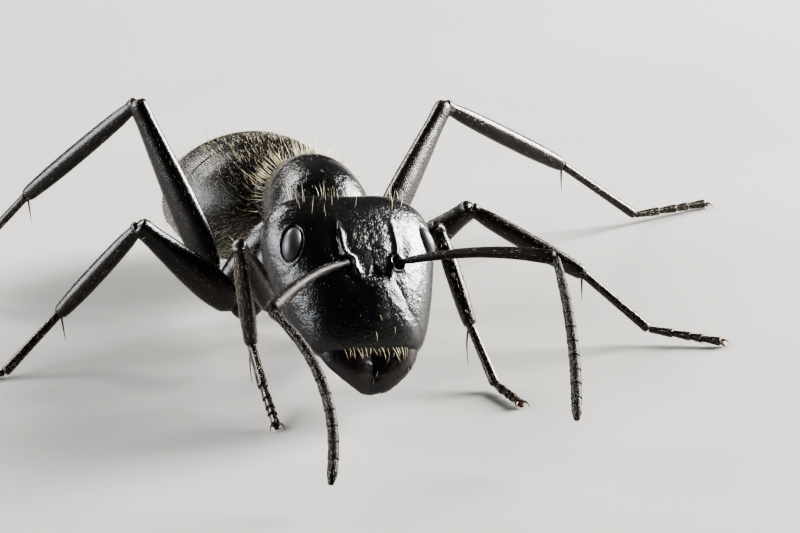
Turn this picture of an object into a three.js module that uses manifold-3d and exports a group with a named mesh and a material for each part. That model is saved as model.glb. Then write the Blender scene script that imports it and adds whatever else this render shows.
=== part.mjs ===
// A carpenter ant, a major worker, standing with its head raised, at life size.
// Millimetres. +Z is up, the ant faces -Y, its left side is +X, and its feet stand on z = 0.
import * as THREE from "three";
import { mergeVertices } from "three/addons/utils/BufferGeometryUtils.js";
import Module from "manifold-3d";

const wasm = await Module();
wasm.setup();

// ---- driving dimensions ------------------------------------------------------------------

// The thin cut between neighbouring pieces, and the least half-thickness of a limb.
const GAP = 0.04;
const LIMB = 0.25;
// A foot's axis lies this high, so that its underside is cut to a small flat on the floor.
const FOOT_AXIS = 0.215;

// The head: a rounded shield, widest behind the eyes, with a nearly straight hind margin.
// turn is to the ant's left, raise lifts the face towards the sky, roll tips it sideways.
const HEAD = {
  centre: [0.02, -3.97, 2.38], turn: 16, raise: 37, roll: -12,
  halfWidth: 1.6, halfLength: 1.54, front: 0.98, back: 1.0,
  jawShare: 0.8, cornerShare: 1.15,
  outlinePower: 3.0, profilePower: 2.2, sectionPower: 1.1,
  hindDip: 0.07, hindDipWidth: 0.6,
};
// The clypeus is the low shield over the mandibles, and the frontal lobes flank the middle line.
const CLYPEUS = { v: -0.95, halfLength: 0.5, halfWidth: 0.55, rise: 0.09 };
const LOBE = { u: 0.33, v: 0.15, halfLength: 0.45, halfWidth: 0.16, rise: 0.07 };
const EYE = {
  u: 1.29, v: 0.38, w: 0.5, halfWidth: 0.2, halfLength: 0.33, height: 0.2, outward: 40, lean: 18,
};
// Closed, the two mandibles make one rounded spade below the clypeus.
const MANDIBLES = { v: -1.36, w: 0.16, halfWidth: 0.98, length: 0.96, halfThickness: 0.46 };

// Each antenna: a long scape that rises a little in the middle, then the many-jointed funiculus.
const ANTENNA = {
  socket: { u: 0.5, v: -0.15, w: 0.9 },
  scapeRise: 0.15, scapeBase: 0.25, scapeTip: 0.26, funiculusThickness: 0.26,
  right: { elbow: [-2.27, -7.25, 2.99], tip: [-1.93, -9.69, 0.5], bow: [0.42, -0.03, 0.14] },
  left: { elbow: [3.2, -6.4, 3.0], tip: [2.63, -9.34, 0.95], bow: [0.1, -0.03, 0.05] },
};

// The mesosoma from its collar to its rear: its axis (x, y, z), half-height and half-width.
const MESOSOMA = [
  [0.02, -2.55, 2.56, 0.3, 0.34],
  [0.07, -2.1, 2.64, 0.5, 0.55],
  [0.11, -1.7, 2.68, 0.8, 0.84],
  [0.13, -1.2, 2.71, 0.99, 0.96],
  [0.17, -0.5, 2.66, 1.0, 0.9],
  [0.22, 0.3, 2.54, 0.93, 0.8],
  [0.26, 0.95, 2.4, 0.79, 0.7],
  [0.28, 1.4, 2.25, 0.6, 0.58],
  [0.28, 1.68, 2.1, 0.45, 0.45],
];
// Its two sutures: where each crosses the axis, and how far its top leans back.
const SUTURES = [{ y: -0.72, lean: -12 }, { y: 0.62, lean: 14 }];

// The petiole: an upright scale on a short stalk that joins the mesosoma to the gaster.
const PETIOLE = {
  centre: [0.24, 2.2, 2.1], halfWidth: 0.56, halfThickness: 0.24, halfHeight: 0.64, lean: -8,
  stalk: 0.26, stalkFront: [0.27, 1.65, 1.9], stalkRear: [0.2, 2.75, 1.66],
};

// The gaster: an egg, blunt in front and pointed behind, in five rings.
const GASTER = {
  centre: [0.02, 4.5, 1.53], halfLength: 1.92, halfWidth: 1.68, halfHeight: 1.23,
  droop: 6, turn: 5, taper: 0.16,
  cuts: [-0.42, 0.06, 0.46, 0.78],
};

// The legs. Lengths are the same on both sides; each leg has its own pose.
// top is where the coxa leaves the thorax and hip is where the femur starts, both measured to
// the left from midX, where the thorax's own mid-plane lies at that leg.
const LEGS = {
  fore: {
    midX: 0.12, top: [0.48, -1.7, 2.15], hip: [1.0, -1.75, 1.05],
    lengths: [2.25, 1.9, 1.25, 1.1], coxa: 0.38, femur: 0.31,
  },
  mid: {
    midX: 0.2, top: [0.5, -0.05, 1.95], hip: [1.2, 0.1, 0.88],
    lengths: [2.85, 2.45, 1.6, 1.4], coxa: 0.34, femur: 0.34,
  },
  hind: {
    midX: 0.28, top: [0.45, 0.85, 1.9], hip: [1.25, 1.15, 0.9],
    lengths: [3.85, 3.2, 2.0, 1.65], coxa: 0.34, femur: 0.34,
  },
};
// Each segment's turn, forward of straight out, and lift above the level, in degrees:
// femur, tibia, basitarsus, then the turn of the last joints, which come down to the floor.
const POSES = {
  fore_right: [49, 52, 144, -86, 86, -21, 88],
  fore_left: [56, 49, 66, -65, 77, -46, 82],
  mid_right: [5, 46, -29, -46, 25, -33, 5],
  mid_left: [48, 37, 25, -31, 26, -42, 34],
  hind_right: [-50, 63.5, -36, -39, -35, -45, -38],
  hind_left: [-43, 37, -17, -33, -9, -40, -16],
};
// Where a coxa swings its end out of the kind's usual place.
const HIPS = { mid_right: [1.35, -0.25, 0.64], hind_right: [1.6, 1.2, 0.78] };
const TRUE_FOOT_AXIS = 0.1;

// ---- colours -----------------------------------------------------------------------------

const cuticle = new THREE.MeshStandardMaterial({ color: 0x0c0c0d, roughness: 0.3, metalness: 0 });
const eyeLens = new THREE.MeshStandardMaterial({ color: 0x24262a, roughness: 0.25, metalness: 0 });
const jawHorn = new THREE.MeshStandardMaterial({ color: 0x1c0f0a, roughness: 0.28, metalness: 0 });
const legCuticle = new THREE.MeshStandardMaterial({ color: 0x14100e, roughness: 0.35, metalness: 0 });
const feelerCuticle = new THREE.MeshStandardMaterial({ color: 0x15120f, roughness: 0.4, metalness: 0 });

// ---- tools -------------------------------------------------------------------------------

const radians = THREE.MathUtils.degToRad;
const vector = (list) => new THREE.Vector3(...list);
const SKYWARD = vector([0, 0, 1]);
const power = (x, p) => Math.sign(x) * Math.abs(x) ** p;

// A closed mesh as a solid, turned so that its faces point outwards.
function solid(geometry) {
  const bare = geometry.clone();
  bare.deleteAttribute("normal");
  bare.deleteAttribute("uv");
  const merged = mergeVertices(bare, 1e-5);
  const points = merged.attributes.position.array;
  const faces = Array.from(merged.index.array);
  const kept = [];
  let volume = 0;
  const corner = (i) => new THREE.Vector3().fromArray(points, 3 * i);
  for (let i = 0; i < faces.length; i += 3) {
    const [a, b, c] = faces.slice(i, i + 3);
    if (a === b || b === c || c === a) continue;
    kept.push(a, b, c);
    volume += corner(a).dot(corner(b).cross(corner(c)));
  }
  if (volume < 0) kept.reverse();
  return new wasm.Manifold(new wasm.Mesh({
    numProp: 3,
    vertProperties: new Float32Array(points),
    triVerts: new Uint32Array(kept),
  }));
}

function toMesh(name, body, material) {
  const shape = body.getMesh();
  const geometry = new THREE.BufferGeometry();
  geometry.setAttribute("position", new THREE.BufferAttribute(new Float32Array(shape.vertProperties), 3));
  geometry.setIndex(new THREE.BufferAttribute(new Uint32Array(shape.triVerts), 1));
  geometry.computeVertexNormals();
  const mesh = new THREE.Mesh(geometry, material);
  mesh.name = name;
  return mesh;
}

// Keeps the side of a plane that its normal points to, half a gap away from the plane.
function keep(body, point, normal) {
  const n = normal.clone().normalize();
  return body.trimByPlane([n.x, n.y, n.z], n.dot(point) + GAP / 2);
}

// A rounded rod along a path. size(t) gives its half-width and its half-height, the height
// being measured towards up, and its ends are domes.
function rod(path, size, { along = 4, around = 8, dome = 2, up = SKYWARD, grow = 0 } = {}) {
  const geometry = new THREE.CapsuleGeometry(1, 1, dome, around, along);
  const place = geometry.attributes.position;
  const p = new THREE.Vector3();
  for (let i = 0; i < place.count; i += 1) {
    p.fromBufferAttribute(place, i);
    const t = THREE.MathUtils.clamp(p.y + 0.5, 0, 1);
    const overrun = p.y > 0.5 ? p.y - 0.5 : Math.min(0, p.y + 0.5);
    const [wide, high] = size(t).map((half) => half + grow);
    const tangent = path.getTangent(t).normalize();
    const side = new THREE.Vector3().crossVectors(tangent, up).normalize();
    const rise = new THREE.Vector3().crossVectors(side, tangent);
    const at = path.getPoint(t)
      .addScaledVector(tangent, overrun * Math.min(wide, high))
      .addScaledVector(side, p.x * wide)
      .addScaledVector(rise, p.z * high);
    place.setXYZ(i, at.x, at.y, at.z);
  }
  return solid(geometry);
}

// ---- head --------------------------------------------------------------------------------

const hump = (u, v, { u: u0 = 0, v: v0, halfWidth, halfLength, rise }) =>
  rise * Math.exp(-(((u - u0) / halfWidth) ** 2) - ((v - v0) / halfLength) ** 2);

// The head's skin, in its own frame: u across, v up the face, w out of the face.
function headSkin(grow = 0) {
  const geometry = new THREE.SphereGeometry(1, 34, 24);
  const place = geometry.attributes.position;
  const d = new THREE.Vector3();
  for (let i = 0; i < place.count; i += 1) {
    d.fromBufferAttribute(place, i);
    const ring = Math.hypot(d.x, d.z);
    const share = power(d.y, 2 / HEAD.outlinePower);
    const outline = ring ** (2 / HEAD.outlinePower);
    const profile = Math.max(0, 1 - Math.abs(share) ** HEAD.profilePower) ** (1 / HEAD.profilePower);
    const width = HEAD.halfWidth * THREE.MathUtils.lerp(HEAD.jawShare, HEAD.cornerShare, (share + 1) / 2);
    const round = ring > 1e-9 ? [d.x / ring, d.z / ring] : [0, 0];
    let u = width * outline * power(round[0], 1 / HEAD.sectionPower);
    let w = (round[1] > 0 ? HEAD.front : HEAD.back) * profile * power(round[1], 1 / HEAD.sectionPower);
    let v = HEAD.halfLength * share;
    if (w > 0) w += hump(u, v, CLYPEUS) + hump(Math.abs(u), v, LOBE);
    if (v > 0) v -= HEAD.hindDip * Math.exp(-((u / HEAD.hindDipWidth) ** 2)) * share;
    const out = 1 + grow / Math.max(0.3, Math.hypot(u, v, w));
    u *= out;
    v *= out;
    w *= out;
    place.setXYZ(i, u, v, w);
  }
  return solid(geometry);
}

function placeHead(object) {
  const axisX = new THREE.Vector3(1, 0, 0);
  const axisZ = new THREE.Vector3(0, 0, 1);
  object.quaternion
    .setFromAxisAngle(axisZ, radians(HEAD.turn))
    .multiply(new THREE.Quaternion().setFromAxisAngle(axisX, radians(90 - HEAD.raise)))
    .multiply(new THREE.Quaternion().setFromAxisAngle(axisZ, radians(HEAD.roll)));
  object.position.set(...HEAD.centre);
  object.updateMatrixWorld(true);
}

function eyeball(side, grow = 0) {
  const geometry = new THREE.SphereGeometry(1, 14, 10);
  geometry.scale(EYE.halfWidth + grow, EYE.halfLength + grow, EYE.height + grow);
  geometry.rotateZ(side * radians(EYE.lean));
  geometry.rotateY(side * radians(EYE.outward));
  geometry.translate(side * EYE.u, EYE.v, EYE.w);
  return solid(geometry);
}

function mandible(side, head) {
  const geometry = new THREE.SphereGeometry(1, 20, 12);
  geometry.scale(MANDIBLES.halfWidth, MANDIBLES.length, MANDIBLES.halfThickness);
  geometry.translate(0, MANDIBLES.v, MANDIBLES.w);
  return keep(solid(geometry).subtract(head), new THREE.Vector3(), new THREE.Vector3(side, 0, 0));
}

const head = new THREE.Group();
placeHead(head);
const grownHead = headSkin(GAP);
const headSpace = grownHead.transform(Array.from(head.matrixWorld.elements));
const SIDES = { left: 1, right: -1 };

function fillHead() {
  let skull = headSkin();
  for (const [name, side] of Object.entries(SIDES)) {
    skull = skull.subtract(eyeball(side, GAP));
    head.add(toMesh(`eye_${name}`, eyeball(side), eyeLens));
    head.add(toMesh(`mandible_${name}`, mandible(side, grownHead), jawHorn));
  }
  head.add(toMesh("head", skull, cuticle));
}
fillHead();

// ---- antennae ----------------------------------------------------------------------------

function antenna(name) {
  const side = SIDES[name];
  const { elbow, tip, bow } = ANTENNA[name];
  const socket = new THREE.Vector3(side * ANTENNA.socket.u, ANTENNA.socket.v, ANTENNA.socket.w);
  head.localToWorld(socket);
  const middle = vector(elbow);
  const end = vector(tip);
  const scapeHeight = socket.clone().lerp(middle, 0.5).add(new THREE.Vector3(0, 0, 2 * ANTENNA.scapeRise));
  const scapePath = new THREE.QuadraticBezierCurve3(socket, scapeHeight, middle);
  const bend = middle.clone().lerp(end, 0.5).addScaledVector(vector(bow), 2);
  const funiculusPath = new THREE.QuadraticBezierCurve3(middle, bend, end);

  const scapeSize = (t) => Array(2).fill(THREE.MathUtils.lerp(ANTENNA.scapeBase, ANTENNA.scapeTip, t));
  const funiculusSize = () => Array(2).fill(ANTENNA.funiculusThickness);
  const crease = scapePath.getTangent(1).add(funiculusPath.getTangent(0));
  const shaft = rod(scapePath, scapeSize, { along: 6 }).subtract(headSpace);
  const lash = rod(funiculusPath, funiculusSize, { along: 8 });
  return [
    toMesh(`scape_${name}`, keep(shaft, middle, crease.clone().negate()), feelerCuticle),
    toMesh(`funiculus_${name}`, keep(lash, middle, crease), feelerCuticle),
  ];
}

// ---- mesosoma ----------------------------------------------------------------------------

const mesosomaAxis = new THREE.CatmullRomCurve3(MESOSOMA.map(([x, y, z]) => new THREE.Vector3(x, y, z)));
const mesosomaSizes = new THREE.CatmullRomCurve3(
  MESOSOMA.map(([, , , high, wide]) => new THREE.Vector3(wide, high, 0)),
);

function mesosomaSkin(grow = 0) {
  const size = (t) => mesosomaSizes.getPoint(t).toArray().slice(0, 2);
  return rod(mesosomaAxis, size, { along: 14, around: 18, dome: 3, grow });
}

function mesosoma() {
  const planes = SUTURES.map(({ y, lean }) => ({
    point: new THREE.Vector3(0, y, 2.7),
    normal: new THREE.Vector3(0, Math.cos(radians(lean)), Math.sin(radians(lean))),
  }));
  const [front, rear] = planes;
  const whole = mesosomaSkin().subtract(headSpace);
  const backward = (plane) => plane.normal.clone();
  const forward = (plane) => plane.normal.clone().negate();
  const behindFront = keep(whole, front.point, backward(front));
  return [
    toMesh("pronotum", keep(whole, front.point, forward(front)), cuticle),
    toMesh("mesothorax", keep(behindFront, rear.point, forward(rear)), cuticle),
    toMesh("propodeum", keep(whole, rear.point, backward(rear)), cuticle),
  ];
}

// ---- petiole and gaster ------------------------------------------------------------------

function gasterSkin(grow = 0) {
  const geometry = new THREE.SphereGeometry(1, 20, 16);
  const place = geometry.attributes.position;
  const d = new THREE.Vector3();
  for (let i = 0; i < place.count; i += 1) {
    d.fromBufferAttribute(place, i);
    const plump = 1 - GASTER.taper * d.y;
    place.setXYZ(
      i,
      d.x * plump * (GASTER.halfWidth + grow),
      d.y * (GASTER.halfLength + grow),
      d.z * plump * (GASTER.halfHeight + grow),
    );
  }
  return geometry;
}

function placeGaster(geometry) {
  geometry.rotateX(-radians(GASTER.droop));
  geometry.rotateZ(radians(GASTER.turn));
  geometry.translate(...GASTER.centre);
  return solid(geometry);
}

function gaster() {
  const axis = new THREE.Vector3(0, Math.cos(radians(GASTER.droop)), -Math.sin(radians(GASTER.droop)))
    .applyAxisAngle(new THREE.Vector3(0, 0, 1), radians(GASTER.turn));
  const cut = (share) => vector(GASTER.centre).addScaledVector(axis, share * GASTER.halfLength);
  const whole = placeGaster(gasterSkin());
  const edges = [-2, ...GASTER.cuts, 2];
  return edges.slice(1).map((edge, i) => {
    const ring = keep(keep(whole, cut(edges[i]), axis), cut(edge), axis.clone().negate());
    return toMesh(`gaster_${i + 1}`, ring, cuticle);
  });
}

function petiole() {
  const scale = new THREE.SphereGeometry(1, 14, 10);
  scale.scale(PETIOLE.halfWidth, PETIOLE.halfThickness, PETIOLE.halfHeight);
  scale.rotateX(radians(PETIOLE.lean));
  scale.translate(...PETIOLE.centre);
  const stalkPath = new THREE.LineCurve3(vector(PETIOLE.stalkFront), vector(PETIOLE.stalkRear));
  const stalk = rod(stalkPath, () => [PETIOLE.stalk * 1.2, PETIOLE.stalk], { along: 1, around: 10 });
  const body = solid(scale).add(stalk).subtract(mesosomaSkin(GAP)).subtract(placeGaster(gasterSkin(GAP)));
  return toMesh("petiole", body, cuticle);
}

// ---- legs --------------------------------------------------------------------------------

// A length that points turn degrees forward of straight out and lift degrees up.
function reach(length, turn, lift, side) {
  const t = radians(turn);
  const l = radians(lift);
  return new THREE.Vector3(side * Math.cos(t) * Math.cos(l), -Math.sin(t) * Math.cos(l), Math.sin(l))
    .multiplyScalar(length);
}

// The leg's joints from the thorax to the toe.
function legJoints(kind, sideName) {
  const { midX, top, lengths } = LEGS[kind];
  const hip = HIPS[`${kind}_${sideName}`] ?? LEGS[kind].hip;
  const side = SIDES[sideName];
  const pose = POSES[`${kind}_${sideName}`];
  const joints = [top, hip].map((place) => vector(place).setX(midX + side * place[0]));
  for (let i = 0; i < 3; i += 1) {
    joints.push(joints.at(-1).clone().add(reach(lengths[i], pose[2 * i], pose[2 * i + 1], side)));
  }
  const drop = (TRUE_FOOT_AXIS - joints.at(-1).z) / lengths[3];
  const lift = THREE.MathUtils.radToDeg(Math.asin(THREE.MathUtils.clamp(drop, -1, 1)));
  joints.push(joints.at(-1).clone().add(reach(lengths[3], pose[6], lift, side)));
  joints.forEach((joint) => { joint.z = Math.max(joint.z, FOOT_AXIS); });
  return joints;
}

// A segment's half-width and half-height along its length. Its swelling is nearest its base.
const swelling = (base, most, end) => (t) => {
  const swell = (most - (base + end) / 2) * Math.sin(Math.PI * t ** 0.7);
  const half = THREE.MathUtils.lerp(base, end, t) + swell;
  return [half, half];
};

function leg(kind, sideName) {
  const { coxa, femur } = LEGS[kind];
  const joints = legJoints(kind, sideName);
  const segments = [
    ["coxa", swelling(coxa, coxa, LIMB + 0.03)],
    ["femur", swelling(LIMB + 0.03, femur, LIMB)],
    ["tibia", swelling(LIMB, LIMB + 0.01, LIMB)],
    ["basitarsus", swelling(LIMB, LIMB, LIMB)],
    ["tarsus", swelling(LIMB, LIMB, LIMB)],
  ];
  const grownThorax = mesosomaSkin(GAP);
  const direction = (i) => joints[i + 1].clone().sub(joints[i]).normalize();
  const group = new THREE.Group();
  segments.forEach(([name, size], i) => {
    const up = Math.abs(direction(i).z) > 0.9 ? new THREE.Vector3(0, 1, 0) : SKYWARD;
    const along = name === "femur" ? 4 : 1;
    const crease = (end) => direction(end).add(direction(end - 1));
    let body = rod(new THREE.LineCurve3(joints[i], joints[i + 1]), size, { along, up });
    if (i > 0) body = keep(body, joints[i], crease(i));
    if (i < segments.length - 1) body = keep(body, joints[i + 1], crease(i + 1).negate());
    if (name === "coxa") body = body.subtract(grownThorax);
    if (name.endsWith("tarsus")) body = body.trimByPlane([0, 0, 1], 0);
    group.add(toMesh(`${name}_${kind}_${sideName}`, body, legCuticle));
  });
  return group;
}

// ---- the ant -----------------------------------------------------------------------------

const ant = new THREE.Group();
ant.add(head, ...antenna("left"), ...antenna("right"), ...mesosoma(), petiole(), ...gaster());
for (const kind of Object.keys(LEGS)) {
  for (const sideName of Object.keys(SIDES)) ant.add(leg(kind, sideName));
}

// The origin is on the floor, in the middle of the ant's own footprint.
const extent = new THREE.Box3().setFromObject(ant, true);
const footprint = extent.getCenter(new THREE.Vector3());
ant.position.set(-footprint.x, -footprint.y, -extent.min.z);

export default ant;
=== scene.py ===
import math

import bmesh
import bpy
import numpy as np
from mathutils import Matrix, Vector


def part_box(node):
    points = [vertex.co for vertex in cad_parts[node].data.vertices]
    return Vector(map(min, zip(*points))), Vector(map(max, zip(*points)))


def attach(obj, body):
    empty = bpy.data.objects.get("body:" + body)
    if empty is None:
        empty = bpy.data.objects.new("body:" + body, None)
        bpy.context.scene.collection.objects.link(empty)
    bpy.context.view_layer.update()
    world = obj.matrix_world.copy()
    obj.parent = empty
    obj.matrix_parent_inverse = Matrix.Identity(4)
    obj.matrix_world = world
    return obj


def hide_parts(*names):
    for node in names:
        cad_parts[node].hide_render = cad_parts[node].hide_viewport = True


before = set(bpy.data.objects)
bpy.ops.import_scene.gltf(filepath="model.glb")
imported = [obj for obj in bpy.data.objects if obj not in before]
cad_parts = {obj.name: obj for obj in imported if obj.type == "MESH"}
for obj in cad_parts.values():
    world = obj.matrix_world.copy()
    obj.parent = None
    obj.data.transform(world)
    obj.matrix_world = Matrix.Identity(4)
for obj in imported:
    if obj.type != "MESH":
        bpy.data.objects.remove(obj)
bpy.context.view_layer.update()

# ---- camera, light and floor ----------------------------------------------------------------
# The ant stands on a plain pale table. A small bright softbox on its left gives the hard, broken
# glints, a broad dim one on its right gives the grey sheen, and one behind lights up the hairs.

MM = 0.001
# The ant's own axes: millimetres, -Y forwards, +X its left, Z up from the floor. The middle of
# the petiole's box, in them, tells where they lie in the frame.
PETIOLE_MIDDLE = Vector((0.24, 2.1703, 0))
petiole_low, petiole_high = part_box("petiole")
SHIFT = (petiole_low + petiole_high) / 2 / MM - PETIOLE_MIDDLE
SHIFT.z = 0


def place(point):
    return (Vector(point) + SHIFT) * MM


AIM = Vector((1.921, 0, 1.129))
AZIMUTH, ELEVATION, ROLL = math.radians(-14), math.radians(17.5), math.radians(-3)
DISTANCE = 110
LENS, SENSOR_WIDTH = 261.3, 36
NEAREST, FARTHEST = 0.002, 10
LAMPS_AIM = Vector((0, 0, 2))
TABLE_HALF = 900


def bearing(azimuth, elevation):
    """The way from the ant to something that stands at these angles."""
    flat = math.cos(elevation)
    return Vector((math.sin(azimuth) * flat, -math.cos(azimuth) * flat, math.sin(elevation)))


def looking(back):
    """The turn of a camera or lamp that looks along -back."""
    return (-back).to_track_quat("-Z", "Y").to_matrix()


def add_object(name, data):
    made = bpy.data.objects.new(name, data)
    bpy.context.scene.collection.objects.link(made)
    return made


def add_camera():
    data = bpy.data.cameras.new("camera")
    data.lens = LENS
    data.sensor_width = SENSOR_WIDTH
    data.clip_start, data.clip_end = NEAREST, FARTHEST
    camera = add_object("camera", data)
    back = bearing(AZIMUTH, ELEVATION)
    turn = looking(back) @ Matrix.Rotation(ROLL, 3, "Z")
    camera.matrix_world = Matrix.Translation(place(AIM + back * DISTANCE)) @ turn.to_4x4()
    bpy.context.scene.camera = camera


def add_softbox(name, azimuth, elevation, distance, size, radiance, colour):
    """An area light that faces the ant. Its brightness is stated as radiance."""
    data = bpy.data.lights.new(name, "AREA")
    data.shape = "RECTANGLE"
    data.size, data.size_y = (side * MM for side in size)
    data.energy = radiance * math.pi * data.size * data.size_y
    data.color = colour
    lamp = add_object(name, data)
    back = bearing(math.radians(azimuth), math.radians(elevation))
    spot = Matrix.Translation(place(LAMPS_AIM + back * distance))
    lamp.matrix_world = spot @ looking(back).to_4x4()
    lamp.visible_camera = False


add_camera()
add_softbox("key", 98, 22, 90, (50, 46), 58, (1, 0.99, 0.97))
add_softbox("fill", -95, 22, 110, (98, 70), 12, (0.94, 0.97, 1))
add_softbox("back", -152, 37, 110, (40, 30), 22, (1, 0.98, 0.94))


class Value:
    """A shader socket used in arithmetic: each operator adds its Math node."""

    def __init__(self, finish, socket):
        self.finish, self.socket = finish, socket

    def maths(self, operation, left, right):
        return self.finish.node("ShaderNodeMath", {"operation": operation}, {0: left, 1: right})

    def __add__(self, other):
        return self.maths("ADD", self, other)

    def __sub__(self, other):
        return self.maths("SUBTRACT", self, other)

    def __rsub__(self, other):
        return self.maths("SUBTRACT", other, self)

    def __mul__(self, other):
        return self.maths("MULTIPLY", self, other)

    __radd__, __rmul__ = __add__, __mul__


class Finish:
    """A material around one Principled shader. Constants are set on the shader's own sockets."""

    def __init__(self, name, **constants):
        self.material = bpy.data.materials.new(name)
        self.material.use_nodes = True
        self.tree = self.material.node_tree
        self.shader = next(n for n in self.tree.nodes if n.type == "BSDF_PRINCIPLED")
        for socket, constant in constants.items():
            self.shader.inputs[socket.replace("_", " ")].default_value = constant
        self.spot = self.node("ShaderNodeTexCoord", output="Object")

    def node(self, kind, settings=None, inputs=None, output=0):
        """Any node: its settings are set first, then the values or links of its sockets."""
        made = self.tree.nodes.new(kind)
        for key, setting in (settings or {}).items():
            setattr(made, key, setting)
        for key, source in (inputs or {}).items():
            self.feed(made.inputs[key], source)
        return Value(self, made.outputs[output])

    def feed(self, socket, source):
        if isinstance(source, Value):
            self.tree.links.new(source.socket, socket)
        else:
            socket.default_value = source

    def set(self, **sources):
        for socket, source in sources.items():
            self.feed(self.shader.inputs[socket.replace("_", " ")], source)

    def noise(self, grain, detail=2, roughness=0.5, spot=None):
        """Soft noise whose lumps are grain millimetres across."""
        return self.node("ShaderNodeTexNoise", inputs={
            "Vector": spot or self.spot, "Scale": 1 / (grain * MM), "Detail": detail,
            "Roughness": roughness})

    def cells(self, grain, feature="F1"):
        """Close-set cells, grain millimetres across: the distance from each one's middle."""
        return self.node("ShaderNodeTexVoronoi", {"feature": feature}, {
            "Vector": self.spot, "Scale": 1 / (grain * MM)}, output="Distance")

    def spread(self, value, low, high, start=0, stop=1):
        """Takes low..high of a value to start..stop, and holds the ends outside it."""
        return self.node("ShaderNodeMapRange", {"clamp": True}, {
            "Value": value, "From Min": low, "From Max": high, "To Min": start, "To Max": stop})

    def mix(self, share, low, high):
        """Blends two colours. Sockets 0, 6 and 7 are the factor and the colours A and B."""
        return self.node("ShaderNodeMix", {"data_type": "RGBA"}, {
            0: share, 6: (*low, 1), 7: (*high, 1)}, output=2)

    def bump(self, height, depth):
        """A Bump node: depth is the height of the relief in millimetres."""
        return self.node("ShaderNodeBump", inputs={
            "Height": height, "Distance": depth * MM, "Strength": 1.0})


def add_floor():
    finish = Finish("table_top", Specular_IOR_Level=0.3)
    cloud = finish.noise(9, detail=3)
    finish.set(
        Base_Color=finish.mix(cloud, (0.31, 0.30, 0.285), (0.345, 0.335, 0.32)),
        Roughness=finish.spread(cloud, 0.3, 0.7, 0.55, 0.7),
        Normal=finish.bump(finish.noise(0.25, detail=3), 0.006))
    form = bmesh.new()
    bmesh.ops.create_grid(form, x_segments=2, y_segments=2, size=TABLE_HALF * MM)
    mesh = bpy.data.meshes.new("table")
    form.to_mesh(mesh)
    form.free()
    mesh.materials.append(finish.material)
    add_object("table", mesh)


def light_room():
    world = bpy.data.worlds.new("room")
    world.use_nodes = True
    sky = world.node_tree.nodes["Background"].inputs
    sky["Color"].default_value = (0.92, 0.94, 1, 1)
    sky["Strength"].default_value = 0.1
    bpy.context.scene.world = world
    bpy.context.scene.view_settings.look = "AgX - High Contrast"


add_floor()
light_room()

# ---- head shell -----------------------------------------------------------------------------
# One hard capsule of black cuticle, widest behind the eyes. The face carries the clypeus, two
# sinuous frontal carinae with an antennal pit beside each, and a fine line down the middle.

HEAD_CENTRE = Vector((0.02, -3.97, 2.38))
HEAD_TURN = (
    Matrix.Rotation(math.radians(16), 3, "Z") @ Matrix.Rotation(math.radians(90 - 37), 3, "X")
    @ Matrix.Rotation(math.radians(-12), 3, "Z"))
HEAD_TO_ANT = Matrix.Translation(HEAD_CENTRE) @ HEAD_TURN.to_4x4()
HEAD_WIDTH, HEAD_LENGTH, FACE_DEPTH, NAPE_DEPTH = 1.6, 1.54, 0.98, 1.0
# The half-width at the jaws, the middle and the hind corners, as shares of HEAD_WIDTH.
JAW_SHARE, MIDDLE_SHARE, CORNER_SHARE = 0.75, 0.975, 1.15
# How square the head is: its outline at the jaws and behind, its profile, the profile of the
# face's lower end, and its cross-section. 2 is an ellipse.
JAW_POWER, OUTLINE_POWER, PROFILE_POWER, BLUNT_POWER, SECTION_POWER = 4.5, 3.0, 2.2, 2.8, 2.2
CHIN = 0.25
HIND_DIP, HIND_DIP_WIDTH = 0.07, 0.6
EYE = dict(u=1.29, v=0.38, w=0.5, wide=0.2, long=0.33, high=0.2, outward=40, lean=18)
ORBIT_RIM, ORBIT_GROOVE = 0.008, 0.035
SOCKET, SOCKET_RADIUS = (0.5, -0.15), 0.13
# How far the face's features stand out or are sunk.
CARINA_HEIGHT, FOSSA_DEPTH, PIT_DEPTH, PIT_RIM = 0.05, 0.045, 0.12, 0.03
CLYPEUS_HEIGHT, SIDE_SEAM, TOP_SEAM, KEEL_HEIGHT = 0.035, 0.009, 0.014, 0.018
TRIANGLE_DEPTH, MIDLINE_DEPTH, FOREHEAD_HEIGHT = 0.03, 0.004, 0.012
GULA_HEIGHT, MARGIN_HEIGHT = 0.03, 0.02
# The carina's distance from the middle line, up the face.
CARINA = [(-0.5, 0.30), (-0.3, 0.36), (-0.12, 0.46), (0.1, 0.55), (0.4, 0.55), (0.75, 0.57),
          (1.0, 0.62)]
# The clypeus's half-width, up the face.
CLYPEUS = [(-1.6, 0.98), (-1.3, 0.86), (-1.0, 0.62), (-0.7, 0.47), (-0.5, 0.36), (-0.44, 0.22),
           (-0.4, 0.02)]

SIDES = dict(left=1, right=-1)
# The finished pieces that hairs can grow on.
skins = {}


def reshape(vertices, move):
    """Moves vertices all at once. move takes and returns an array of points."""
    points = move(np.array([vertex.co for vertex in vertices]))
    for vertex, point in zip(vertices, points):
        vertex.co = point


def bell(x, middle, width):
    """A smooth bump: 1 at the middle, and fading over the width on both sides."""
    return np.exp(-((x - middle) / width) ** 2)


def step(x, start, stop):
    """A smooth step from 0 at start to 1 at stop."""
    share = np.clip((x - start) / (stop - start), 0, 1)
    return share * share * (3 - 2 * share)


def smooth_rows(rows, place_on):
    """A smooth curve through rows of numbers. place_on counts rows, with fractions."""
    rows = np.asarray(rows, float)
    last = len(rows) - 1
    place_on = np.clip(place_on, 0, last)
    i = np.minimum(place_on.astype(int), last - 1)
    f = (place_on - i)[:, None]
    a, b, c, d = (rows[np.clip(i + k, 0, last)] for k in (-1, 0, 1, 2))
    return 0.5 * (2 * b + (c - a) * f + (2 * a - 5 * b + 4 * c - d) * f ** 2
                  + (3 * b - a - 3 * c + d) * f ** 3)


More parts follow.
